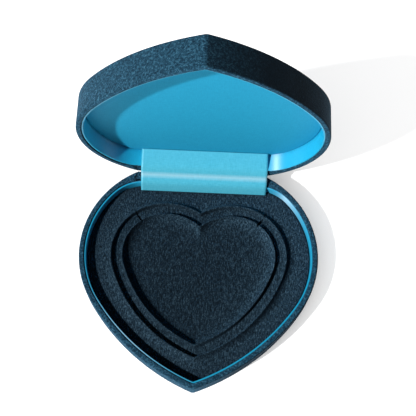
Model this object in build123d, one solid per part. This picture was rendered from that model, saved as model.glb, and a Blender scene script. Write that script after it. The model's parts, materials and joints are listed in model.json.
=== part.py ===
from build123d import *
from math import atan2, cos, degrees, radians, sin, sqrt
import os

os.makedirs("parts", exist_ok=True)

# A heart-shaped jewellery box: a shallow tray and a deeper lid, both covered in fabric, joined along
# a flat back by a concealed hinge and held open at a right angle by a wide satin ribbon.
# All sizes are in millimetres. X runs across the box, Y from the point to the flat back, Z is up.
# The origin is the middle of the underside. The lid is drawn open, standing on its hinge.

# Outline of the box, the same for tray and lid
box_width = 165.0
side_radius = 0.40 * box_width          # round shoulder at each side
lower_radius = 0.908 * box_width        # long flat curve from a shoulder to the point
shoulder_turn = 34.2                    # degrees below the widest line where the two curves meet
back_distance = 0.359 * box_width       # widest line to the flat back
point_radius = 3.8
back_corner_radius = 1.2

# Heights of the two halves, each measured from its flat outside to its rim
tray_height = 16.8
lid_height = 21.1
rim_gap = 0.2                           # nap of the fabric between the closed rims

# Walls, from the outside in: fabric, moulded core, fabric tucked in, satin-covered card
fabric = 0.7
rim_width = 3.7                         # fabric to fabric, at the sides and the point
back_rim_width = 6.9                    # thicker along the back, where it holds the hinge
floor_thickness = 1.6
inner_corner_radius = 30.0              # where the inside of the back wall meets the sides
fabric_tuck = 6.0                       # how far the fabric reaches down inside the rim
fabric_turn_in = 12.0                   # how far it reaches under the tray
foot_gap = 0.2
lining_thickness = 1.1
satin = 0.3
lining_drop = 0.7                       # lining edge below the rim

# Necklace insert: a padded heart with a channel sunk round it
insert_gap = 0.3
board_thickness = 1.5
cover_thickness = 0.8
field_depth = 6.9                       # rim to the flat border of the pad
crest_depth = 2.8                       # rim to the two ridges beside the channel
channel_depth = 6.2                     # rim to the channel's floor
dish_depth = 8.7                        # rim to the sunken middle
insert_width = 0.739 * box_width        # across the outer ridge
insert_side_radius = 0.223 * box_width
insert_lower_radius = 0.588 * box_width
insert_lobe_radius = 0.267 * box_width
insert_shoulder_turn = 18.8             # degrees below the insert's widest line
insert_lobe_turn = 84.0                 # degrees above it, where the top of a lobe begins
insert_set_forward = 0.1                # insert's widest line in front of the box's
insert_point_radius = 3.0
ridge_width = 1.6
ridge_flank = 3.2                       # spread of the ridge's sloping outer side
channel_width = 6.9
slit_width = 0.8
slit_angle = 55.0                       # degrees above the widest line, seen from a lobe's centre
slit_depth = 2.0

# Padded panel that closes the inside of the lid
ceiling_depth = 12.6                    # lid rim to the panel's face
panel_board_thickness = 1.5

# Concealed hinge along the back edge of the rims
hinge_length = 74.0
knuckle_radius = 1.4
knuckle_count = 5
knuckle_gap = 0.2
pin_radius = 0.6
pin_clearance = 0.03
leaf_thickness = 0.7
leaf_depth = 8.0
hinge_clearance = 0.1

# Satin ribbon across the hinge
ribbon_width = 89.0
ribbon_off_centre = 1.5                 # the strip is glued a little to the right
ribbon_thickness = 0.35
ribbon_gap = 0.2                        # between the ribbon's edges and the lining's rounded corners
ribbon_lean = 2.9                       # how much further in its glued end stands
ribbon_notch_depth = 1.0                # step in both rims that the folded ribbon lies in
ribbon_notch_margin = 0.8

side_x = box_width / 2 - side_radius
lower_x = side_x - (lower_radius - side_radius) * cos(radians(shoulder_turn))
lower_y = (lower_radius - side_radius) * sin(radians(shoulder_turn))
point_y = lower_y - sqrt((lower_radius - point_radius) ** 2 - lower_x ** 2) - point_radius
widest_y = -(back_distance + point_y) / 2
back_y = back_distance + widest_y
hinge_z = tray_height + rim_gap / 2
lining_inset = rim_width + lining_thickness
inside_floor = fabric + floor_thickness

# The ribbon reaches past the flat of the back wall, so it is set in as far as the rounded corners need
lining_corner = inner_corner_radius - lining_thickness
lining_corner_y = back_distance - back_rim_width - lining_thickness - lining_corner
lining_corner_x = side_x + sqrt((side_radius - lining_inset - lining_corner) ** 2 - lining_corner_y ** 2)
into_corner = max(0, ribbon_off_centre + ribbon_width / 2 - lining_corner_x)
lining_at_ribbon = lining_corner_y + sqrt(lining_corner ** 2 - into_corner ** 2)
ribbon_set_in = back_distance - lining_at_ribbon + ribbon_gap


def arc(centre, radius, start, end):
    """Arc about a centre between two angles, in degrees from +X."""
    return CenterArc(centre, radius, start, end - start)


def both_sides(right_edges):
    """Right-hand edges with their mirror images, as one closed face."""
    left_edges = [mirror(edge, about=Plane.YZ) for edge in right_edges]
    return make_face(Curve() + right_edges + left_edges)


def box_outline(inset, back_inset, corner_radius):
    """Outline of the box, moved inwards, with its own inset along the back."""
    side = side_radius - inset
    lower = lower_radius - inset
    point = max(point_radius - inset, point_radius / 2)
    point_centre_y = lower_y - sqrt((lower - point) ** 2 - lower_x ** 2)
    point_turn = degrees(atan2(lower_y - point_centre_y, -lower_x))
    back = back_distance - back_inset
    corner_y = back - corner_radius
    corner_x = side_x + sqrt((side - corner_radius) ** 2 - corner_y ** 2)
    corner_turn = degrees(atan2(corner_y, corner_x - side_x))
    right_edges = [
        arc((0, point_centre_y), point, -90, -point_turn),
        arc((lower_x, lower_y), lower, -point_turn, -shoulder_turn),
        arc((side_x, 0), side, -shoulder_turn, corner_turn),
        arc((corner_x, corner_y), corner_radius, corner_turn, 90),
        Line((corner_x, back), (0, back)),
    ]
    return Pos(0, widest_y, 0) * both_sides(right_edges)


def outside(inset, bottom, top):
    """Block with the box's outline, moved inwards evenly, between two heights."""
    corner = max(back_corner_radius - inset, back_corner_radius / 2)
    return Pos(0, 0, bottom) * extrude(box_outline(inset, inset, corner), amount=top - bottom)


def inside(inset, bottom, top):
    """Block that follows the inside of the walls; inset is measured from the outside of a side wall."""
    deeper = inset - rim_width
    face = box_outline(inset, back_rim_width + deeper, inner_corner_radius - deeper)
    return Pos(0, 0, bottom) * extrude(face, amount=top - bottom)


def insert_outline(inset):
    """Heart with a cleft, moved inwards from the insert's outer ridge."""
    turn = radians(insert_shoulder_turn)
    lobe = radians(insert_lobe_turn)
    centre_x = insert_width / 2 - insert_side_radius
    long_x = centre_x - (insert_lower_radius - insert_side_radius) * cos(turn)
    long_y = (insert_lower_radius - insert_side_radius) * sin(turn)
    lobe_x = centre_x - (insert_lobe_radius - insert_side_radius) * cos(lobe)
    lobe_y = -(insert_lobe_radius - insert_side_radius) * sin(lobe)
    long_radius = insert_lower_radius - inset
    lobe_radius = insert_lobe_radius - inset
    tip_centre_y = long_y - sqrt((long_radius - insert_point_radius) ** 2 - long_x ** 2)
    tip_turn = degrees(atan2(long_y - tip_centre_y, -long_x))
    cleft_turn = degrees(atan2(sqrt(lobe_radius ** 2 - lobe_x ** 2), -lobe_x))
    right_edges = [
        arc((0, tip_centre_y), insert_point_radius, -90, -tip_turn),
        arc((long_x, long_y), long_radius, -tip_turn, -insert_shoulder_turn),
        arc((centre_x, 0), insert_side_radius - inset, -insert_shoulder_turn, insert_lobe_turn),
        arc((lobe_x, lobe_y), lobe_radius, insert_lobe_turn, cleft_turn),
    ]
    return Pos(0, widest_y - insert_set_forward, 0) * both_sides(right_edges)


def insert_block(inset, bottom, top):
    """Block with the insert's heart outline between two heights."""
    return Pos(0, 0, bottom) * extrude(insert_outline(inset), amount=top - bottom)


def ribbon_notch(height):
    """Shallow step across the back rim, as wide as the ribbon."""
    width = ribbon_width + 2 * (ribbon_off_centre + ribbon_notch_margin)
    notch = Box(width, ribbon_set_in, 2 * ribbon_notch_depth)
    return Pos(0, back_y - ribbon_set_in / 2 - knuckle_radius - hinge_clearance, height) * notch


def hinge_groove(height):
    """Round groove for the knuckles along the back edge of a rim."""
    groove = Cylinder(knuckle_radius + hinge_clearance, hinge_length + 2 * hinge_clearance)
    return Pos(0, back_y, height + rim_gap / 2) * Rot(Y=90) * groove


def hinge_slot(height):
    """Slot in the moulded core that one hinge leaf is pressed into."""
    slot = Box(hinge_length, leaf_thickness, leaf_depth)
    return Pos(0, back_y - knuckle_radius + leaf_thickness / 2, height + rim_gap / 2 - leaf_depth / 2) * slot


def moulded_shell(height):
    """Moulded core of one half: a flat floor and a wall, rim upwards."""
    core = outside(fabric, fabric, height - fabric)
    hollow = inside(rim_width - fabric, inside_floor, height)
    return core - hollow - ribbon_notch(height) - hinge_groove(height) - hinge_slot(height)


def fabric_wrap(height, turn_in):
    """Fabric over the wall, across the rim, tucked in behind the lining and turned in underneath."""
    skin = outside(0, 0, height) - outside(fabric, fabric, height - fabric)
    skin -= inside(rim_width, fabric, height)
    if turn_in > 0:
        skin -= outside(turn_in, 0, fabric)
    tuck_bottom = height - fabric_tuck
    tucked = inside(rim_width - fabric, tuck_bottom, height - fabric)
    tucked -= inside(rim_width, tuck_bottom, height - fabric)
    return skin + tucked - ribbon_notch(height) - hinge_groove(height) - hinge_slot(height)


def lining_strip(height):
    """Card strip round the inside of the wall and the satin skin on it, as two solids."""
    top = height - lining_drop
    card = inside(rim_width, inside_floor, top - satin)
    card -= inside(lining_inset - satin, inside_floor, top)
    skin = inside(rim_width, inside_floor, top) - inside(lining_inset, inside_floor, top)
    notch = ribbon_notch(height)
    return card - notch, skin - card - notch


def pad_shape(skin):
    """Padded insert with its ridges, channel and sunken middle; skin shrinks it to the foam inside."""
    border = inside(lining_inset + insert_gap + skin, pad_bottom, tray_height - field_depth - skin)
    crest = tray_height - crest_depth - skin
    field = tray_height - field_depth - skin
    foot_outline = insert_outline(skin - ridge_flank)
    plinth = Pos(0, 0, pad_bottom) * extrude(foot_outline, amount=field - pad_bottom)
    slope = loft([Pos(0, 0, field) * foot_outline, Pos(0, 0, crest) * insert_outline(skin)], ruled=True)
    channel_floor = tray_height - channel_depth - skin
    channel = insert_block(ridge_width - skin, channel_floor, tray_height)
    channel -= insert_block(ridge_width + channel_width + skin, channel_floor, tray_height)
    dish_inset = 2 * ridge_width + channel_width - skin
    dish = insert_block(dish_inset, tray_height - dish_depth - skin, tray_height)
    return border + plinth + slope - channel - dish


def necklace_slits():
    """Two slots across the channel that the ends of a chain are tucked into."""
    centre_x = insert_width / 2 - insert_side_radius
    reach = insert_side_radius - ridge_width - channel_width / 2
    floor = tray_height - channel_depth
    slot = Box(channel_width, slit_width, 2 * slit_depth)
    right = Pos(centre_x, widest_y - insert_set_forward, floor) * Rot(Z=slit_angle) * Pos(reach, 0, 0) * slot
    return right, mirror(right, about=Plane.YZ)


def ceiling_panel():
    """Foam, board and satin of the panel inside the lid, rim upwards."""
    inset = lining_inset + insert_gap
    face_height = lid_height - ceiling_depth
    board_top = face_height - satin
    board_bottom = board_top - panel_board_thickness
    foam = inside(inset, inside_floor, board_bottom)
    board = inside(inset + satin, board_bottom, board_top)
    skin = inside(inset, board_bottom, face_height) - board
    return foam, board, skin


def knuckle_length():
    """Length of one knuckle, without the gap to the next."""
    return hinge_length / knuckle_count - knuckle_gap


def knuckles(indices, radius, length):
    """Rods along the hinge line at the given places, counted from the left."""
    pitch = hinge_length / knuckle_count
    rods = [
        Pos((index + 0.5) * pitch - hinge_length / 2, back_y, hinge_z) * Rot(Y=90) * Cylinder(radius, length)
        for index in indices
    ]
    return Part() + rods


def hinge_leaf(own, others, bore_radius):
    """One leaf of the hinge, hanging below the hinge line, with its own rolled knuckles."""
    plate = Box(hinge_length, leaf_thickness, leaf_depth)
    plate = Pos(0, back_y - knuckle_radius + leaf_thickness / 2, hinge_z - leaf_depth / 2) * plate
    swept = knuckles(others, knuckle_radius + hinge_clearance, knuckle_length() + 2 * knuckle_gap)
    bore = knuckles([(knuckle_count - 1) / 2], bore_radius, 2 * hinge_length)
    return plate - swept + knuckles(own, knuckle_radius, knuckle_length()) - bore


def open_lid(shape):
    """Move a piece of the lid from rim-up, like a tray, to its place on the open box."""
    on_hinge = mirror(Pos(0, -back_y, -lid_height - rim_gap / 2) * shape, about=Plane.XY)
    return Pos(0, back_y, hinge_z) * Rot(X=-90) * on_hinge


def open_leaf(shape):
    """Turn a hinge leaf from hanging in the tray's wall to its place in the open lid's wall."""
    on_hinge = mirror(Pos(0, -back_y, -hinge_z) * shape, about=Plane.XY)
    return Pos(0, back_y, hinge_z) * Rot(X=-90) * on_hinge


def ribbon():
    """Satin ribbon: up the back wall of the tray, straight across the hinge and along the lid's wall."""
    tray_end = hinge_z - field_depth + insert_gap
    lid_end = ceiling_depth - insert_gap
    line = Polyline(
        (back_y - ribbon_set_in - ribbon_lean, tray_end),
        (back_y - ribbon_set_in, hinge_z + ribbon_thickness),
        (back_y + ribbon_thickness, hinge_z + ribbon_set_in),
        (back_y + lid_end, hinge_z + ribbon_set_in + ribbon_lean),
    )
    strip = make_face(offset(line, amount=ribbon_thickness / 2, side=Side.BOTH).edges())
    left_edge = ribbon_off_centre - ribbon_width / 2
    side_view = Plane(origin=(left_edge, 0, 0), x_dir=(0, 1, 0), z_dir=(1, 0, 0))
    return extrude(side_view * strip, amount=ribbon_width)


pad_bottom = inside_floor + board_thickness

first_slit, second_slit = necklace_slits()
foam = pad_shape(cover_thickness) - first_slit - second_slit
cover = pad_shape(0) - pad_shape(cover_thickness) - first_slit - second_slit
tray_card, tray_satin = lining_strip(tray_height)
lid_card, lid_satin = lining_strip(lid_height)
panel_foam, panel_board, panel_satin = ceiling_panel()
odd_knuckles = range(0, knuckle_count, 2)
even_knuckles = range(1, knuckle_count, 2)
tray_leaf = hinge_leaf(odd_knuckles, even_knuckles, pin_radius)
lid_leaf = hinge_leaf(even_knuckles, odd_knuckles, pin_radius + pin_clearance)

pieces = {
    "base_shell": moulded_shell(tray_height),
    "base_fabric_wrap": fabric_wrap(tray_height, fabric_turn_in),
    "base_foot_sheet": outside(fabric_turn_in + foot_gap, 0, fabric),
    "base_lining_card": tray_card,
    "base_lining_satin": tray_satin,
    "insert_board": inside(lining_inset + insert_gap, inside_floor, pad_bottom),
    "insert_foam": foam,
    "insert_cover": cover,
    "hinge_base_leaf": tray_leaf,
    "hinge_pin": knuckles([(knuckle_count - 1) / 2], pin_radius, hinge_length),
    "hinge_lid_leaf": open_leaf(lid_leaf),
    "ribbon_stay": ribbon(),
    "lid_shell": open_lid(moulded_shell(lid_height)),
    "lid_fabric_wrap": open_lid(fabric_wrap(lid_height, 0)),
    "lid_lining_card": open_lid(lid_card),
    "lid_lining_satin": open_lid(lid_satin),
    "lid_panel_foam": open_lid(panel_foam),
    "lid_panel_board": open_lid(panel_board),
    "lid_panel_satin": open_lid(panel_satin),
}

for name, piece in pieces.items():
    export_step(piece, f"parts/{name}.step")
    print(name, round(piece.volume, 1), len(piece.solids()), piece.bounding_box())
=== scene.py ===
import json
import math

import bmesh
import bpy
import numpy as np
from mathutils import Matrix, Vector


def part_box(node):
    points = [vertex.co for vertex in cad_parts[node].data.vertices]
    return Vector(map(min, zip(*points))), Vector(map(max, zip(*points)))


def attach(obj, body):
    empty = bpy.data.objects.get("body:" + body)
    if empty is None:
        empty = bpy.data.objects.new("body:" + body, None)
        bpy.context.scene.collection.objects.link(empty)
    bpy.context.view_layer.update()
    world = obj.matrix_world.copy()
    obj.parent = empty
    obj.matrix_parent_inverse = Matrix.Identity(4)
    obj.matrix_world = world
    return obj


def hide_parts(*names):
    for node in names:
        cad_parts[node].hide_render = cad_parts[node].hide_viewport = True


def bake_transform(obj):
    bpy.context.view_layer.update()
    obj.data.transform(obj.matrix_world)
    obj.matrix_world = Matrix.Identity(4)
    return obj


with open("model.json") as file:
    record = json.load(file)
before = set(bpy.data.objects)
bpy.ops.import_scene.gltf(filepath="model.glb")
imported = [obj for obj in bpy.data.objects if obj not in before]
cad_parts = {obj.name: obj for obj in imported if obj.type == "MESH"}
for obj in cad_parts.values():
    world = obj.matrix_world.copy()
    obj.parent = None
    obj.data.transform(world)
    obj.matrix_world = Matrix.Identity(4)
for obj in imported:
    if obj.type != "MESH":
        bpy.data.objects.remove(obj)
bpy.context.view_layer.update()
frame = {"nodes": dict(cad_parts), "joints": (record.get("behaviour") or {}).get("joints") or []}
MM = 0.001

# ---------------------------------------------------------------- sizes, in millimetres
base_low, base_high = (np.array(corner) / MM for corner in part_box("base_fabric_wrap"))
lid_low, lid_high = (np.array(corner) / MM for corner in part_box("lid_fabric_wrap"))
hinge_line = np.array(frame["joints"][0]["pos_m"]) / MM

BOX_WIDTH = base_high[0] - base_low[0]
TRAY_HEIGHT = base_high[2] - base_low[2]
LID_HEIGHT = lid_high[1] - lid_low[1]
BACK_Y, HINGE_Z = hinge_line[1], hinge_line[2]
LID_RIM_GAP = lid_low[1] - BACK_Y

# Outline: the same arcs as the moulded shells, as shares of the width
SIDE_RADIUS = 0.40 * BOX_WIDTH
LOWER_RADIUS = 0.908 * BOX_WIDTH
SHOULDER_TURN = math.radians(34.2)
BACK_DISTANCE = 0.359 * BOX_WIDTH
POINT_RADIUS = 3.8
BACK_CORNER_RADIUS = 1.2
LEAST_CORNER_RADIUS = 0.6
WIDEST_Y = BACK_Y - BACK_DISTANCE

FABRIC = 0.7
RIM_WIDTH = 3.7
BACK_RIM_WIDTH = 6.9
INNER_CORNER_RADIUS = 30.0
FOOT_EDGE = 0.6                      # radii that the fabric is bent round
OUTER_RIM_EDGE = 0.9
INNER_RIM_EDGE = 0.7
RIM_CROWN = ((1.7, 0.03), (2.5, 0.0))     # inset, rise above the rim's height
FABRIC_TUCK = 6.0                    # down the inside of the wall
BASE_TURN_IN = 12.0                  # inwards from the foot's outline
LID_TURN_IN = 6.0
LINING_THICKNESS = 1.1
LINING_DROP = 0.7                    # from the rim to the lining's edge
LINING_OUTER_EDGE = 0.3
LINING_INNER_EDGE = 0.35
LINING_GAP = 0.02                    # from the wall's fabric
INSIDE_FLOOR = 2.3
RIBBON_NOTCH = (46.8, 1.5, 10.4, 1.0)     # half width, from and to in front of the back, depth
NOTCH_EASE = 0.4                     # how wide its sides slope

LID_PANEL_DEPTH = 12.6               # from the lid's rim
LID_PANEL_GAP = 0.25                 # from the lining
LID_PANEL_EDGE = 0.7
LID_PANEL_SIDE = 1.8                 # how far its side goes back from its face
LID_PANEL_SWELL = ((3, 0.05), (9, 0.12))  # inwards from the panel's outline, rise above its edge
TO_MIDDLE = (0.85, 0.65, 0.45, 0.25, 0.1)     # sizes of the rings that fill a flat face

# Insert: its outline along the outer ridge
INSERT_WIDTH = 0.739 * BOX_WIDTH
INSERT_SIDE_RADIUS = 0.223 * BOX_WIDTH
INSERT_LOWER_RADIUS = 0.588 * BOX_WIDTH
INSERT_LOBE_RADIUS = 0.267 * BOX_WIDTH
INSERT_SHOULDER_TURN = math.radians(18.8)
INSERT_LOBE_TURN = math.radians(84.0)
INSERT_POINT_RADIUS = 2.0
INSERT_CENTRE_X = INSERT_WIDTH / 2 - INSERT_SIDE_RADIUS


# ---------------------------------------------------------------- outlines
def arc_points(centre, radius, start, end, count):
    """Points along an arc, without its last one."""
    angles = np.linspace(start, end, count, endpoint=False)
    return np.column_stack([centre[0] + radius * np.cos(angles), centre[1] + radius * np.sin(angles)])


def close_loop(right_half, last):
    """Whole outline from its right half, which starts on the middle line at the point."""
    right_half = np.vstack([right_half, last])
    left_half = right_half[-2:0:-1] * (-1, 1)
    return np.vstack([right_half, left_half])


# Points along each arc of half an outline
COUNTS = {"point": 8, "lower": 46, "side": 44, "corner": 14, "back": 14, "lobe": 24}


def box_ring(inset, inner=True):
    """Outline of the box at an inset. With inner it turns from the outside's shape to the inside's."""
    share = min(max(inset / RIM_WIDTH, 0), 1) if inner else 0
    extra_back = share * (BACK_RIM_WIDTH - RIM_WIDTH)
    corner_radius = max(BACK_CORNER_RADIUS - inset, LEAST_CORNER_RADIUS)
    if share > 0:
        corner_radius += share * (INNER_CORNER_RADIUS - corner_radius)
        corner_radius -= max(inset - RIM_WIDTH, 0)
    side_x = BOX_WIDTH / 2 - SIDE_RADIUS
    lower_x = side_x - (LOWER_RADIUS - SIDE_RADIUS) * math.cos(SHOULDER_TURN)
    lower_y = (LOWER_RADIUS - SIDE_RADIUS) * math.sin(SHOULDER_TURN)
    side, lower = SIDE_RADIUS - inset, LOWER_RADIUS - inset
    point = max(POINT_RADIUS - inset, POINT_RADIUS / 2)
    point_centre_y = lower_y - math.sqrt((lower - point) ** 2 - lower_x ** 2)
    point_turn = math.atan2(lower_y - point_centre_y, -lower_x)
    back = BACK_DISTANCE - inset - extra_back
    corner_y = back - corner_radius
    corner_x = side_x + math.sqrt((side - corner_radius) ** 2 - corner_y ** 2)
    corner_turn = math.atan2(corner_y, corner_x - side_x)
    back_x = np.linspace(corner_x, 0, COUNTS["back"], endpoint=False)
    right = [
        arc_points((0, point_centre_y), point, -math.pi / 2, -point_turn, COUNTS["point"]),
        arc_points((lower_x, lower_y), lower, -point_turn, -SHOULDER_TURN, COUNTS["lower"]),
        arc_points((side_x, 0), side, -SHOULDER_TURN, corner_turn, COUNTS["side"]),
        arc_points((corner_x, corner_y), corner_radius, corner_turn, math.pi / 2, COUNTS["corner"]),
        np.column_stack([back_x, np.full(len(back_x), back)]),
    ]
    return close_loop(np.vstack(right), (0, back)) + (0, WIDEST_Y)


# ---------------------------------------------------------------- meshes
def new_mesh(name, vertices, faces):
    """Object with smooth shading from vertices in millimetres."""
    mesh = bpy.data.meshes.new(name)
    mesh.from_pydata((np.asarray(vertices) * MM).tolist(), [], faces)
    mesh.validate()
    shape = bmesh.new()
    shape.from_mesh(mesh)
    bmesh.ops.recalc_face_normals(shape, faces=shape.faces)
    shape.to_mesh(mesh)
    shape.free()
    mesh.shade_smooth()
    piece = bpy.data.objects.new(name, mesh)
    bpy.context.scene.collection.objects.link(piece)
    return piece


def loft(rings, closed=True, cap_first=False, cap_last=False):
    """Vertices and quads through rings of equal length; caps end in one middle vertex."""
    count = len(rings[0])
    vertices = [point for ring in rings for point in ring]
    pairs = [(i, i + 1) for i in range(len(rings) - 1)]
    if closed:
        pairs.append((len(rings) - 1, 0))
    faces = []
    for a, b in pairs:
        for i in range(count):
            j = (i + 1) % count
            faces.append((a * count + i, a * count + j, b * count + j, b * count + i))
    for wanted, ring in ((cap_first, 0), (cap_last, len(rings) - 1)):
        if wanted:
            vertices.append(np.mean(rings[ring], axis=0))
            middle = len(vertices) - 1
            faces += [(ring * count + i, ring * count + (i + 1) % count, middle) for i in range(count)]
    return np.array(vertices), faces


def at_height(ring, height):
    """A flat outline lifted to a height."""
    return np.column_stack([ring, np.full(len(ring), height)])


def rounding(inset, height, radius, start, end, count=5):
    """Section points round an edge: centre in inset and height, angles in degrees from outwards."""
    angles = np.radians(np.linspace(start, end, count))
    return [(inset - radius * math.cos(a), height + radius * math.sin(a)) for a in angles]


def make_room(points, rim_height):
    """Step for the ribbon in the rim beside the hinge."""
    half_width, near, far, depth = RIBBON_NOTCH
    x, from_back, height = points[:, 0], BACK_Y - points[:, 1], points[:, 2]
    across = 1 - np.clip((np.abs(x) - half_width) / NOTCH_EASE, 0, 1)
    along = (np.clip((from_back - near) / NOTCH_EASE, 0, 1)
             * np.clip((far - from_back) / NOTCH_EASE, 0, 1))
    over = np.clip(height - (rim_height - depth), 0, None)
    points[:, 2] -= over * across * along
    return points


def open_lid(points):
    """From rim-up, like a tray with its outside on the floor, to the open lid."""
    from_back = BACK_Y - points[:, 1]
    below_rim = LID_HEIGHT - points[:, 2]
    return np.column_stack([points[:, 0], BACK_Y + LID_RIM_GAP + below_rim, HINGE_Z + from_back])


def wrap_section(height, turn_in):
    """Fabric skin over a wall, outside face first: (inset, height, follows the inside's shape)."""
    outer = [(turn_in, 0.0)] + rounding(FOOT_EDGE, FOOT_EDGE, FOOT_EDGE, -90, 0)
    outer += [(0, height * share) for share in (0.35, 0.7)]
    outer += rounding(OUTER_RIM_EDGE, height - OUTER_RIM_EDGE, OUTER_RIM_EDGE, 0, 90, 6)
    rim = [(inset, height + rise) for inset, rise in RIM_CROWN]
    rim += rounding(RIM_WIDTH - INNER_RIM_EDGE, height - INNER_RIM_EDGE, INNER_RIM_EDGE, 90, 180)
    tucked = [(RIM_WIDTH, height - FABRIC_TUCK), (RIM_WIDTH - FABRIC, height - FABRIC_TUCK)]
    back = [(RIM_WIDTH - FABRIC, height - FABRIC), (FABRIC, height - FABRIC), (FABRIC, FABRIC)]
    section = [(i, z, False) for i, z in outer] + [(i, z, True) for i, z in rim + tucked + back[:1]]
    return section + [(i, z, False) for i, z in back[1:]]


def section_rings(section, rim_height):
    """Rings for a wall's section, with room for the ribbon."""
    rings = []
    for inset, height, inner in section:
        ring = at_height(box_ring(inset, inner), height)
        rings.append(make_room(ring, rim_height))
    return rings


def build_base_wrap():
    section = wrap_section(TRAY_HEIGHT, BASE_TURN_IN) + [(BASE_TURN_IN, FABRIC, False)]
    vertices, faces = loft(section_rings(section, TRAY_HEIGHT))
    piece = new_mesh("base_velvet_cover", vertices, faces)
    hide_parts("base_fabric_wrap")
    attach(piece, "base")
    return piece


def shrink(ring, shares):
    """Rings drawn in towards the middle of one ring."""
    middle = ring.mean(axis=0)
    return [middle + (ring - middle) * share for share in shares]


def build_lid_wrap():
    rings = section_rings(wrap_section(LID_HEIGHT, LID_TURN_IN), LID_HEIGHT)
    outside = shrink(rings[0], TO_MIDDLE)[::-1]
    under = at_height(box_ring(LID_TURN_IN, False), FABRIC)
    inside = [under] + shrink(under, TO_MIDDLE)
    vertices, faces = loft(outside + rings + inside, closed=False, cap_first=True, cap_last=True)
    piece = new_mesh("lid_velvet_cover", open_lid(vertices), faces)
    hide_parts("lid_fabric_wrap")
    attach(piece, "lid")
    return piece


def lining_mesh(rim_height):
    """Satin over card, standing inside a wall of the given rim height."""
    bottom, top = INSIDE_FLOOR, rim_height - LINING_DROP
    outer, inner = RIM_WIDTH + LINING_GAP, RIM_WIDTH + LINING_THICKNESS
    section = [(outer, bottom, True), (outer, top - LINING_OUTER_EDGE, True)]
    edges = rounding(outer + LINING_OUTER_EDGE, top - LINING_OUTER_EDGE, LINING_OUTER_EDGE, 0, 90, 4)
    edges += rounding(inner - LINING_INNER_EDGE, top - LINING_INNER_EDGE, LINING_INNER_EDGE, 90, 180, 4)
    section += [(inset, height, True) for inset, height in edges]
    section += [(inner, (bottom + top) / 2, True), (inner, bottom, True)]
    return loft(section_rings(section, rim_height))


def build_linings():
    vertices, faces = lining_mesh(TRAY_HEIGHT)
    tray = new_mesh("base_satin_lining", vertices, faces)
    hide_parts("base_lining_satin", "base_lining_card")
    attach(tray, "base")
    vertices, faces = lining_mesh(LID_HEIGHT)
    lid = new_mesh("lid_satin_lining", open_lid(vertices), faces)
    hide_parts("lid_lining_satin", "lid_lining_card")
    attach(lid, "lid")
    return tray, lid


def build_lid_panel():
    """Satin drawn over the board that closes the inside of the lid, with soft rounded edges."""
    face = LID_HEIGHT - LID_PANEL_DEPTH
    edge = RIM_WIDTH + LINING_THICKNESS + LID_PANEL_GAP
    section = [(edge, face - LID_PANEL_SIDE)]
    section += rounding(edge + LID_PANEL_EDGE, face - LID_PANEL_EDGE, LID_PANEL_EDGE, 0, 90, 6)
    section += [(edge + inwards, face + rise) for inwards, rise in LID_PANEL_SWELL]
    rings = [at_height(box_ring(inset), height) for inset, height in section]
    rings = shrink(rings[0], TO_MIDDLE)[::-1] + rings + shrink(rings[-1], TO_MIDDLE)
    vertices, faces = loft(rings, closed=False, cap_first=True, cap_last=True)
    piece = new_mesh("lid_satin_panel", open_lid(vertices), faces)
    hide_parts("lid_panel_satin")
    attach(piece, "lid")
    return piece


# ---------------------------------------------------------------- padded insert
SLIT_TURN = math.radians(55.0)       # where a slit crosses the channel, from a lobe's centre
SLIT_WIDTH = 1.3
SLIT_DEPTH = 2.2
SLIT_OVERRUN = 0.6                   # past the two ridges
SLIT_STEPS = (-3, -2, -1.2, -1, 0, 1, 1.2, 2, 3)      # extra points beside a slit, in half widths
SLIT_CLEAR = 3.2                     # half widths kept free of the evenly spaced points
PAD_FIELD = -6.9                     # heights from the rim: border, ridges, channel floor, sunken middle
RIDGE = -2.8
CHANNEL_FLOOR = -6.2
DISH = -8.8
COVE_REACH = 2.1                     # how quickly the outer slope flattens, and the inner one
DISH_REACH = 3.3
CHANNEL_SPAN = 8.1                   # ridge to ridge
CHANNEL_MIDDLE = 4.0                 # from the outer ridge
COVE_STEPS = (13.0, 11.0, 9.2, 7.6, 6.2, 5.0, 4.0, 3.1, 2.3, 1.6, 1.0, 0.5)   # out from the outer ridge
DISH_STEPS = (0.4, 0.9, 1.5, 2.2, 3.0, 4.0, 5.2, 6.6, 8.2)                    # in from the inner one
PAD_GAP = 0.3                        # from the lining
# Border, as share of the way out to the pad's edge and height above PAD_FIELD
PAD_BORDER = ((1.0, -3.5), (0.995, -0.9), (0.97, -0.15), (0.9, 0), (0.7, 0), (0.45, 0), (0.2, 0))
# Sunken middle, as size of the ring and height from the rim
DISH_MIDDLE = ((0.86, -8.45), (0.7, -8.6), (0.52, -8.7), (0.34, -8.78), (0.16, -8.82))
PAD_MIDDLE = (0, WIDEST_Y - 12.0)    # the point that edge_matched takes angles about
EDGE_POINTS = 4000


def slope(distance, depth, reach):
    """Height lost below a ridge on a slope that starts steep and eases out."""
    return depth * (1 - math.exp(-distance / reach))


def pad_profile():
    """Section of the pad as (inset from the outer ridge, height from the rim), outside first."""
    outer = [(-d, RIDGE - slope(d, RIDGE - PAD_FIELD, COVE_REACH)) for d in COVE_STEPS]
    wall = [(-0.15, RIDGE - 0.12), (0.15, RIDGE - 0.02), (0.45, RIDGE - 0.2), (0.7, RIDGE - 0.8),
            (0.9, RIDGE - 1.7), (1.1, CHANNEL_FLOOR + 0.7), (1.4, CHANNEL_FLOOR + 0.18),
            (2.0, CHANNEL_FLOOR)]
    floor = [(CHANNEL_SPAN * share, CHANNEL_FLOOR) for share in (0.36, 0.5, 0.64)]
    far_wall = [(CHANNEL_SPAN - inset, height) for inset, height in reversed(wall)]
    dish = [(CHANNEL_SPAN + d, RIDGE - slope(d, RIDGE - DISH, DISH_REACH)) for d in DISH_STEPS]
    return outer + wall + floor + far_wall + dish


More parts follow.
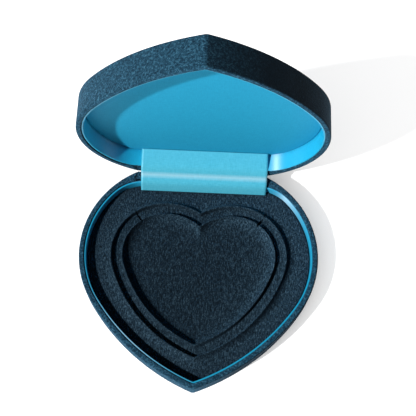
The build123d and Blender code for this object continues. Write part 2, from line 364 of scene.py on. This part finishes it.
def lobe_angles(start, end, count):
    """Angles along a lobe's side, closer together beside the slit."""
    angles = list(np.linspace(start, end, count, endpoint=False))
    step = SLIT_WIDTH / 2 / (INSERT_SIDE_RADIUS - CHANNEL_MIDDLE)
    extra = [SLIT_TURN + step * k for k in SLIT_STEPS]
    clear = [a for a in angles if abs(a - SLIT_TURN) > SLIT_CLEAR * step]
    return np.array(sorted(clear + extra))


def insert_ring(inset):
    """Heart with a cleft at an inset from the outer ridge."""
    lower_x = INSERT_CENTRE_X - (INSERT_LOWER_RADIUS - INSERT_SIDE_RADIUS) * math.cos(INSERT_SHOULDER_TURN)
    lower_y = (INSERT_LOWER_RADIUS - INSERT_SIDE_RADIUS) * math.sin(INSERT_SHOULDER_TURN)
    lobe_x = INSERT_CENTRE_X - (INSERT_LOBE_RADIUS - INSERT_SIDE_RADIUS) * math.cos(INSERT_LOBE_TURN)
    lobe_y = -(INSERT_LOBE_RADIUS - INSERT_SIDE_RADIUS) * math.sin(INSERT_LOBE_TURN)
    lower, lobe = INSERT_LOWER_RADIUS - inset, INSERT_LOBE_RADIUS - inset
    tip_y = lower_y - math.sqrt((lower - INSERT_POINT_RADIUS) ** 2 - lower_x ** 2)
    tip_turn = math.atan2(lower_y - tip_y, -lower_x)
    cleft_rise = math.sqrt(lobe ** 2 - lobe_x ** 2)
    cleft_turn = math.atan2(cleft_rise, -lobe_x)
    side_angles = lobe_angles(-INSERT_SHOULDER_TURN, INSERT_LOBE_TURN, COUNTS["side"])
    side = INSERT_SIDE_RADIUS - inset
    right = [
        arc_points((0, tip_y), INSERT_POINT_RADIUS, -math.pi / 2, -tip_turn, COUNTS["point"]),
        arc_points((lower_x, lower_y), lower, -tip_turn, -INSERT_SHOULDER_TURN, COUNTS["lower"]),
        np.column_stack([INSERT_CENTRE_X + side * np.cos(side_angles), side * np.sin(side_angles)]),
        arc_points((lobe_x, lobe_y), lobe, INSERT_LOBE_TURN, cleft_turn, COUNTS["lobe"]),
    ]
    return close_loop(np.vstack(right), (0, lobe_y + cleft_rise)) + (0, WIDEST_Y)


def resample(ring, count):
    """The same closed outline with evenly spaced points, keeping its first one."""
    loop = np.vstack([ring, ring[:1]])
    steps = np.concatenate([[0], np.cumsum(np.linalg.norm(np.diff(loop, axis=0), axis=1))])
    places = np.linspace(0, steps[-1], count, endpoint=False)
    return np.column_stack([np.interp(places, steps, loop[:, axis]) for axis in (0, 1)])


def slit_drop(points):
    """How deep the two chain slits cut into the channel's floor."""
    x, y = np.abs(points[:, 0]) - INSERT_CENTRE_X, points[:, 1] - WIDEST_Y
    along = x * math.cos(SLIT_TURN) + y * math.sin(SLIT_TURN)
    across = np.abs(y * math.cos(SLIT_TURN) - x * math.sin(SLIT_TURN))
    inset = INSERT_SIDE_RADIUS - along
    inside = (inset > -SLIT_OVERRUN) & (inset < CHANNEL_SPAN + SLIT_OVERRUN) & (across < SLIT_WIDTH / 2)
    return np.where(inside, SLIT_DEPTH, 0.0)


def edge_matched(edge, ring):
    """Points on the pad's outer edge that lie opposite the points of a ring, by angle about the middle."""
    fine = resample(edge, EDGE_POINTS)
    edge_angle = np.unwrap(np.arctan2(*(fine - PAD_MIDDLE).T[::-1]))
    ring_angle = np.unwrap(np.arctan2(*(ring - PAD_MIDDLE).T[::-1]))
    ring_angle += edge_angle[0] - ring_angle[0]
    x = np.interp(ring_angle, edge_angle, fine[:, 0])
    y = np.interp(ring_angle, edge_angle, fine[:, 1])
    return np.column_stack([x, y])


def build_insert():
    rings = []
    for inset, height in pad_profile():
        ring = at_height(insert_ring(inset), height)
        ring[:, 2] -= slit_drop(ring)
        rings.append(ring)
    foot = rings[0][:, :2]
    edge = edge_matched(box_ring(RIM_WIDTH + LINING_THICKNESS + PAD_GAP), foot)
    border = [at_height(foot + (edge - foot) * share, PAD_FIELD + rise) for share, rise in PAD_BORDER]
    middle = shrink(rings[-1], [share for share, _ in DISH_MIDDLE])
    for ring, (_, height) in zip(middle, DISH_MIDDLE):
        ring[:, 2] = height
    vertices, faces = loft(border + rings + middle, closed=False, cap_first=True, cap_last=True)
    vertices[:, 2] += TRAY_HEIGHT
    piece = new_mesh("insert_velvet_pad", vertices, faces)
    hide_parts("insert_cover", "insert_foam")
    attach(piece, "base")
    return piece


# ---------------------------------------------------------------- ribbon
RIBBON_WIDTH = 89.0
RIBBON_THICKNESS = 0.3
RIBBON_SET_IN = 8.87                 # in front of the hinge line in the tray, above it in the lid
RIBBON_LEAN = 2.9
RIBBON_OFF_CENTRE = 1.5
RIBBON_ROWS, RIBBON_COLUMNS = 72, 61
RIBBON_CREASE = (3.6, 3.6)           # in front of the hinge line, above it; so are the points below
RIBBON_IN_TRAY = [
    (RIBBON_SET_IN + RIBBON_LEAN, -6.6),
    (RIBBON_SET_IN + 0.9, -1.6),
    (RIBBON_SET_IN - 0.7, 0.9),
]
RIBBON_IN_LID = [
    (0.6, RIBBON_SET_IN - 1.2),
    (-1.6, RIBBON_SET_IN + 0.4),
    (-12.3, RIBBON_SET_IN + RIBBON_LEAN),
]


def softened(points, times=3):
    """A bent line with its corners cut again and again, its two ends kept."""
    for _ in range(times):
        cut = [points[0]]
        for (x1, y1), (x2, y2) in zip(points, points[1:]):
            cut += [(near * x1 + (1 - near) * x2, near * y1 + (1 - near) * y2) for near in (0.75, 0.25)]
        points = cut + [points[-1]]
    return points


RIBBON_PATH = softened(RIBBON_IN_TRAY + [RIBBON_CREASE]) + softened([RIBBON_CREASE] + RIBBON_IN_LID)[1:]


def smooth_path(corners, samples):
    """Evenly spaced points along straight runs, with the corners between them eased."""
    corners = np.array(corners, float)
    steps = np.concatenate([[0], np.cumsum(np.linalg.norm(np.diff(corners, axis=0), axis=1))])
    places = np.linspace(0, steps[-1], samples)
    path = np.column_stack([np.interp(places, steps, corners[:, axis]) for axis in (0, 1)])
    for _ in range(3):
        path[1:-1] = (path[:-2] + 2 * path[1:-1] + path[2:]) / 4
    return path


def build_ribbon():
    path = smooth_path(RIBBON_PATH, RIBBON_ROWS)
    tangent = np.gradient(path, axis=0)
    tangent /= np.linalg.norm(tangent, axis=1)[:, None]
    normal = np.column_stack([-tangent[:, 1], tangent[:, 0]])
    columns = RIBBON_OFF_CENTRE + np.linspace(-RIBBON_WIDTH / 2, RIBBON_WIDTH / 2, RIBBON_COLUMNS)
    rings = []
    for point, out in zip(path, normal):
        front = point - out * RIBBON_THICKNESS / 2
        back = point + out * RIBBON_THICKNESS / 2
        top = [(x, BACK_Y - front[0], HINGE_Z + front[1]) for x in columns]
        under = [(x, BACK_Y - back[0], HINGE_Z + back[1]) for x in columns[::-1]]
        rings.append(np.array(top + under))
    vertices, faces = loft(rings, closed=False)
    for start in (0, len(vertices) - len(rings[0])):
        last = start + len(rings[0]) - 1
        faces += [(start + i, start + i + 1, last - 1 - i, last - i) for i in range(len(columns) - 1)]
    piece = new_mesh("ribbon_strip", vertices, faces)
    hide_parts("ribbon_stay")
    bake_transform(piece)
    return piece


# ---------------------------------------------------------------- materials, with lengths in metres
PAINTED_SHADE_COLOUR = (0.001, 0.002, 0.004)   # near-black colour that is mixed in wherever shade is painted
PAD_SHADE_REACH = 0.07
HEMMED_IN, OPEN = 0.45, 0.95         # shares of the sky that a surface sees, between which the painted corner shade fades in
LINING_GLOSS = (1.75, 0.8, 0.52, 0.95)       # index of refraction, level, roughness, anisotropy
PANEL_GLOSS = (1.5, 0.3, 0.6, 0.5)
RIBBON_GLOSS = (1.5, 0.5, 0.5, 0.8)
# a pale highlight is painted along the ribbon's fold: its colour, the direction across the fold, its place
# and its reach
CREASE_HIGHLIGHT_COLOUR = (0.62, 0.80, 0.86)
CREASE_ACROSS = (0.0, -math.sqrt(0.5), -math.sqrt(0.5))
CREASE_PLACE = -(BACK_Y - RIBBON_CREASE[0] + HINGE_Z + RIBBON_CREASE[1]) * math.sqrt(0.5) * MM
CREASE_REACH = 0.0028


class Shader:
    """One node material, with short calls for the nodes that it needs."""

    def __init__(self, name):
        self.material = bpy.data.materials.new(name)
        self.material.use_nodes = True
        self.nodes = self.material.node_tree.nodes
        self.links = self.material.node_tree.links
        self.surface = self.nodes["Principled BSDF"]
        self.coordinates = self.nodes.new("ShaderNodeTexCoord")
        self.place = self.coordinates.outputs["Object"]

    def link(self, source, target):
        self.links.new(source, target)

    def noise(self, scale, detail=2.0, rough=0.5, stretch=(1, 1, 1)):
        mapping = self.nodes.new("ShaderNodeMapping")
        mapping.inputs["Scale"].default_value = stretch
        self.link(self.place, mapping.inputs["Vector"])
        texture = self.nodes.new("ShaderNodeTexNoise")
        texture.inputs["Scale"].default_value = scale
        texture.inputs["Detail"].default_value = detail
        texture.inputs["Roughness"].default_value = rough
        self.link(mapping.outputs[0], texture.inputs["Vector"])
        return texture.outputs["Fac"]

    def ramp(self, value, stops):
        node = self.nodes.new("ShaderNodeValToRGB")
        while len(node.color_ramp.elements) < len(stops):
            node.color_ramp.elements.new(0.5)
        for element, (place, colour) in zip(node.color_ramp.elements, stops):
            element.position = place
            element.color = (*colour, 1)
        self.link(value, node.inputs["Fac"])
        return node.outputs["Color"]

    def maths(self, kind, a, b):
        node = self.nodes.new("ShaderNodeMath")
        node.operation = kind
        for socket, value in zip(node.inputs, (a, b)):
            if isinstance(value, (int, float)):
                socket.default_value = value
            else:
                self.link(value, socket)
        return node.outputs[0]

    def mix(self, share, a, b):
        node = self.nodes.new("ShaderNodeMix")
        node.data_type = "RGBA"
        for socket, value in zip((node.inputs[0], node.inputs[6], node.inputs[7]), (share, a, b)):
            if isinstance(value, (int, float)):
                socket.default_value = value
            elif isinstance(value, tuple):
                socket.default_value = (*value, 1)
            else:
                self.link(value, socket)
        return node.outputs[2]

    def fade(self, value, near, far, at_near, at_far):
        """From at_near to at_far while value goes from near to far."""
        node = self.nodes.new("ShaderNodeMapRange")
        for socket, number in zip(node.inputs[1:5], (near, far, at_near, at_far)):
            socket.default_value = number
        self.link(value, node.inputs["Value"])
        return node.outputs["Result"]

    def axis(self, vector, name):
        """One number of a vector: X, Y or Z."""
        split = self.nodes.new("ShaderNodeSeparateXYZ")
        self.link(vector, split.inputs[0])
        return split.outputs[name]

    def painted_shade_facing_right(self, near, far, most=0.93):
        """Painted shade: how much darker the colour is made where the surface faces right, away from the
        key light.
        """
        return self.fade(self.axis(self.coordinates.outputs["Normal"], "X"), near, far, 0.0, most)

    def painted_shade_across_pad(self, at_left, at_right):
        """Painted shade that changes from the middle of the pad to its right side: the middle and left are
        painted darker than the right.
        """
        return self.fade(self.axis(self.place, "X"), 0.0, PAD_SHADE_REACH, at_left, at_right)

    def painted_shade_down_in_pad(self, at_dish, at_ridge):
        """Painted shade that changes from the sunken middle up to the channel's floor and the ridges: the
        deeper the pad lies, the darker it is painted.
        """
        dish, floor = ((TRAY_HEIGHT + height) * MM for height in (DISH, CHANNEL_FLOOR))
        return self.fade(self.axis(self.place, "Z"), dish, floor, at_dish, at_ridge)

    def along(self, direction, middle, reach):
        """1 on the plane through middle across direction, falling to 0 within reach of it."""
        dot = self.nodes.new("ShaderNodeVectorMath")
        dot.operation = "DOT_PRODUCT"
        self.link(self.place, dot.inputs[0])
        dot.inputs[1].default_value = direction
        away = self.maths("ABSOLUTE", self.maths("SUBTRACT", dot.outputs["Value"], middle), 0.0)
        return self.fade(away, 0.0, reach, 1.0, 0.0)

    def painted_corner_shade(self, reach, most):
        """Painted shade that gathers where other surfaces hem this one in within reach."""
        openness = self.nodes.new("ShaderNodeAmbientOcclusion")
        openness.inputs["Distance"].default_value = reach
        return self.fade(openness.outputs["AO"], HEMMED_IN, OPEN, most, 0.0)

    def bump(self, height, distance, strength=1.0, after=None):
        node = self.nodes.new("ShaderNodeBump")
        node.inputs["Strength"].default_value = strength
        node.inputs["Distance"].default_value = distance
        self.link(height, node.inputs["Height"])
        if after is not None:
            self.link(after, node.inputs["Normal"])
        return node.outputs["Normal"]

    def set(self, **values):
        """Link or fill inputs of the surface, with _ for a space in their names."""
        for name, value in values.items():
            socket = self.surface.inputs[name.replace("_", " ")]
            if isinstance(value, bpy.types.NodeSocket):
                self.link(value, socket)
            elif isinstance(value, tuple) and len(value) == 3:
                socket.default_value = (*value, 1)
            else:
                socket.default_value = value
        return self.material


def navy_velvet():
    """Short-pile suede-touch fabric: mottled navy, granular nap, strong blue sheen."""
    s = Shader("navy_velvet")
    grain = s.noise(1500, detail=3.0, rough=0.65)
    mottle = s.noise(700, detail=2.0, rough=0.6)
    clouds = s.noise(45, detail=2.0)
    speck = s.maths("ADD", s.maths("MULTIPLY", grain, 0.5), s.maths("MULTIPLY", mottle, 0.5))
    colour = s.ramp(speck, [(0.38, (0.004, 0.016, 0.030)), (0.50, (0.014, 0.055, 0.095)),
                            (0.60, (0.040, 0.140, 0.220)), (0.70, (0.110, 0.260, 0.360))])
    colour = s.mix(s.maths("MULTIPLY", clouds, 0.3), colour, (0.010, 0.038, 0.066))
    # painted shade on the sides that face right, away from the key light
    colour = s.mix(s.painted_shade_facing_right(0.05, 0.6), colour, PAINTED_SHADE_COLOUR)
    normal = s.bump(mottle, 0.0005, 0.5)
    normal = s.bump(grain, 0.0003, 0.6, after=normal)
    return s.set(Base_Color=colour, Roughness=0.95, Sheen_Weight=0.18, Sheen_Roughness=0.4,
                 Sheen_Tint=(0.12, 0.42, 0.70), Specular_IOR_Level=0.1, Normal=normal)


def insert_velvet():
    """Dark navy knitted velvet with fine upright ribs."""
    s = Shader("insert_velvet")
    ribs = s.noise(900, detail=2.0, rough=0.6, stretch=(1.7, 0.45, 1.0))
    grain = s.noise(1300, detail=3.0, rough=0.6)
    clouds = s.noise(60, detail=2.0)
    speck = s.maths("ADD", s.maths("MULTIPLY", ribs, 0.55), s.maths("MULTIPLY", grain, 0.45))
    colour = s.ramp(speck, [(0.38, (0.003, 0.008, 0.013)), (0.50, (0.016, 0.038, 0.060)),
                            (0.58, (0.052, 0.104, 0.150)), (0.66, (0.100, 0.180, 0.240))])
    colour = s.mix(s.maths("MULTIPLY", clouds, 0.3), colour, (0.012, 0.030, 0.048))
    # painted shade: the pad's middle and left are darker than its right side
    colour = s.mix(s.painted_shade_across_pad(0.30, 0.0), colour, PAINTED_SHADE_COLOUR)
    # painted shade: the sunken parts of the pad are darker
    colour = s.mix(s.painted_shade_down_in_pad(0.42, 0.0), colour, PAINTED_SHADE_COLOUR)
    # painted shade on the slopes that face right, away from the key light
    colour = s.mix(s.painted_shade_facing_right(0.1, 0.6, most=0.75), colour, PAINTED_SHADE_COLOUR)
    # painted shade where nearby surfaces hem the pad in
    colour = s.mix(s.painted_corner_shade(0.009, 0.35), colour, PAINTED_SHADE_COLOUR)
    normal = s.bump(ribs, 0.0006, 0.7)
    normal = s.bump(grain, 0.0003, 0.5, after=normal)
    return s.set(Base_Color=colour, Roughness=0.95, Sheen_Weight=0.12, Sheen_Roughness=0.4,
                 Sheen_Tint=(0.2, 0.5, 0.8), Specular_IOR_Level=0.08, Normal=normal)


def satin(name, deep, light, gloss, gloss_along, crease_highlight=0.0):
    """Satin whose tangent lies along gloss_along; crease_highlight is how strongly a pale highlight is
    painted along its fold.
    """
    s = Shader(name)
    across = s.noise(1600, detail=1.0, stretch=(0.2, 1.5, 1.5))
    along = s.noise(1600, detail=1.0, stretch=(1.5, 0.2, 0.2))
    threads = s.maths("ADD", s.maths("MULTIPLY", across, 0.5), s.maths("MULTIPLY", along, 0.5))
    clouds = s.noise(30, detail=2.0)
    colour = s.ramp(threads, [(0.30, deep), (0.70, light)])
    colour = s.mix(s.maths("MULTIPLY", clouds, 0.2), colour, light)
    if crease_highlight:
        # painted highlight along the fold
        fold = s.along(CREASE_ACROSS, CREASE_PLACE, CREASE_REACH)
        colour = s.mix(s.maths("MULTIPLY", fold, crease_highlight), colour, CREASE_HIGHLIGHT_COLOUR)
    normal = s.bump(threads, 0.00004, 0.3)
    direction = s.nodes.new("ShaderNodeVectorTransform")
    direction.vector_type = "VECTOR"
    direction.convert_from, direction.convert_to = "OBJECT", "WORLD"
    direction.inputs[0].default_value = gloss_along
    s.link(direction.outputs[0], s.surface.inputs["Tangent"])
    ior, level, roughness, anisotropy = gloss
    return s.set(Base_Color=colour, Roughness=roughness, Anisotropic=anisotropy, IOR=ior,
                 Specular_IOR_Level=level, Normal=normal)


def plain(name, deep, light, scale, roughness, metallic=0.0, stretch=(1, 1, 1), depth=0.0001):
    """Mottled finish of a hidden piece: plastic, board, foam or metal."""
    s = Shader(name)
    grain = s.noise(scale, detail=4.0, rough=0.6, stretch=stretch)
    colour = s.ramp(grain, [(0.3, deep), (0.7, light)])
    normal = s.bump(grain, depth, 0.5)
    return s.set(Base_Color=colour, Roughness=roughness, Metallic=metallic, Normal=normal)


def paint(piece, material):
    piece.data.materials.clear()
    piece.data.materials.append(material)


# ---------------------------------------------------------------- scene
FLOOR_HALF = 40.0                    # metres
FLOOR_GLOW = 0.10
SUN_STRENGTH = 4.2
SUN_TRAVEL = (31.9, 41.8)            # degrees: direction on the floor from +X, slope down
SUN_ANGLE = 2.6
FLOOR_FILL = 3.3                     # overhead light that falls on the floor only
FLOOR_FILL_ANGLE = 120
WORLD_COLOUR = (0.9, 0.95, 1.0, 1)
WORLD_STRENGTH = 0.05
RIM_CENTRE = (0, BACK_Y - 55.26, TRAY_HEIGHT)
CAMERA_PLACE = (3.14, -184.0, 572.5)      # millimetres from the rim's centre, and so is the target
CAMERA_TARGET = (5.15, 29.5, 0)
CAMERA_ROLL = -2.96                  # degrees
CAMERA_LENS = 75.31
CAMERA_SENSOR = 36.0


def floor_material():
    s = Shader("studio_floor")
    soft = s.noise(3.0, detail=1.0)
    colour = s.ramp(soft, [(0.0, (0.80, 0.80, 0.80)), (1.0, (0.82, 0.82, 0.82))])
    s.set(Base_Color=colour, Roughness=1.0, Specular_IOR_Level=0.0)
    s.surface.inputs["Emission Color"].default_value = (1, 1, 1, 1)
    s.surface.inputs["Emission Strength"].default_value = FLOOR_GLOW
    return s.material


def build_floor():
    mesh = bpy.data.meshes.new("studio_floor")
    corners = [(x * FLOOR_HALF, y * FLOOR_HALF, 0) for x, y in ((-1, -1), (1, -1), (1, 1), (-1, 1))]
    mesh.from_pydata(corners, [], [(0, 1, 2, 3)])
    floor = bpy.data.objects.new("studio_floor", mesh)
    bpy.context.scene.collection.objects.link(floor)
    paint(floor, floor_material())
    return floor


def build_lights(floor):
    """Low sun, dim sky and a light that only the floor takes."""
    azimuth, elevation = (math.radians(a) for a in SUN_TRAVEL)
    travel = Vector((math.cos(azimuth) * math.cos(elevation), math.sin(azimuth) * math.cos(elevation),
                     -math.sin(elevation)))
    sun = bpy.data.lights.new("key", "SUN")
    sun.energy = SUN_STRENGTH
    sun.angle = math.radians(SUN_ANGLE)
    key = bpy.data.objects.new("key", sun)
    key.rotation_euler = travel.to_track_quat("-Z", "Y").to_euler()
    bpy.context.scene.collection.objects.link(key)
    overhead = bpy.data.lights.new("floor_fill", "SUN")
    overhead.energy = FLOOR_FILL
    overhead.angle = math.radians(FLOOR_FILL_ANGLE)
    fill = bpy.data.objects.new("floor_fill", overhead)
    bpy.context.scene.collection.objects.link(fill)
    lit_by_fill = bpy.data.collections.new("lit_by_floor_fill")
    lit_by_fill.objects.link(floor)
    fill.light_linking.receiver_collection = lit_by_fill
    world = bpy.data.worlds.new("studio")
    world.use_nodes = True
    background = world.node_tree.nodes["Background"]
    background.inputs["Color"].default_value = WORLD_COLOUR
    background.inputs["Strength"].default_value = WORLD_STRENGTH
    bpy.context.scene.world = world


def build_camera():
    """Long lens looking steeply down from the front, turned a little about its own axis."""
    place = Vector(np.add(RIM_CENTRE, CAMERA_PLACE) * MM)
    target = Vector(np.add(RIM_CENTRE, CAMERA_TARGET) * MM)
    forward = (target - place).normalized()
    right = forward.cross(Vector((0, 0, 1))).normalized()
    up = right.cross(forward)
    roll = math.radians(CAMERA_ROLL)
    turned_right = right * math.cos(roll) - up * math.sin(roll)
    turned_up = right * math.sin(roll) + up * math.cos(roll)
    camera = bpy.data.cameras.new("camera")
    camera.sensor_width = CAMERA_SENSOR
    camera.lens = CAMERA_LENS
    camera.clip_start = 0.01
    seat = bpy.data.objects.new("camera", camera)
    turn = Matrix((turned_right, turned_up, -forward)).transposed().to_4x4()
    seat.matrix_world = Matrix.Translation(place) @ turn
    bpy.context.scene.collection.objects.link(seat)
    bpy.context.scene.camera = seat


# ---------------------------------------------------------------- put together
base_cover = build_base_wrap()
lid_cover = build_lid_wrap()
tray_lining, lid_lining = build_linings()
lid_panel = build_lid_panel()
insert_pad = build_insert()
ribbon_strip = build_ribbon()

velvet = navy_velvet()
paint(base_cover, velvet)
paint(lid_cover, velvet)
paint(insert_pad, insert_velvet())
paint(tray_lining, satin("tray_satin", (0.008, 0.33, 0.56), (0.014, 0.41, 0.66), LINING_GLOSS, (0, 0, 1)))
# the lid's lining is the tray's satin painted lighter, standing in for light bounced round inside the lid
paint(lid_lining, satin("lid_satin", (0.008, 0.37, 0.60), (0.014, 0.45, 0.72), LINING_GLOSS, (0, 1, 0)))
paint(lid_panel, satin("panel_satin", (0.006, 0.28, 0.47), (0.012, 0.34, 0.55), PANEL_GLOSS, (0, 0, 1)))
paint(ribbon_strip, satin("ribbon_satin", (0.055, 0.41, 0.56), (0.10, 0.52, 0.68), RIBBON_GLOSS, (0, 1, 1),
                          crease_highlight=0.4))

hidden = {
    "base_shell": plain("moulded_core", (0.02, 0.02, 0.022), (0.04, 0.04, 0.045), 900, 0.6),
    "base_foot_sheet": plain("foot_velvet", (0.01, 0.03, 0.05), (0.03, 0.07, 0.11), 1200, 0.95),
    "insert_board": plain("grey_board", (0.30, 0.28, 0.24), (0.48, 0.45, 0.39), 700, 0.9),
    "lid_panel_foam": plain("open_foam", (0.05, 0.05, 0.06), (0.16, 0.17, 0.19), 1500, 0.95, depth=0.0004),
    "hinge_pin": plain("plated_steel", (0.45, 0.45, 0.46), (0.65, 0.65, 0.66), 700, 0.35, 1.0, (0.1, 2, 2)),
}
shares_finish = {
    "lid_shell": "base_shell",
    "lid_panel_board": "insert_board",
    "hinge_base_leaf": "hinge_pin",
    "hinge_lid_leaf": "hinge_pin",
}
for node, material in hidden.items():
    paint(frame["nodes"][node], material)
for node, like in shares_finish.items():
    paint(frame["nodes"][node], hidden[like])

build_lights(build_floor())
build_camera()
bpy.context.scene.view_settings.view_transform = "Standard"
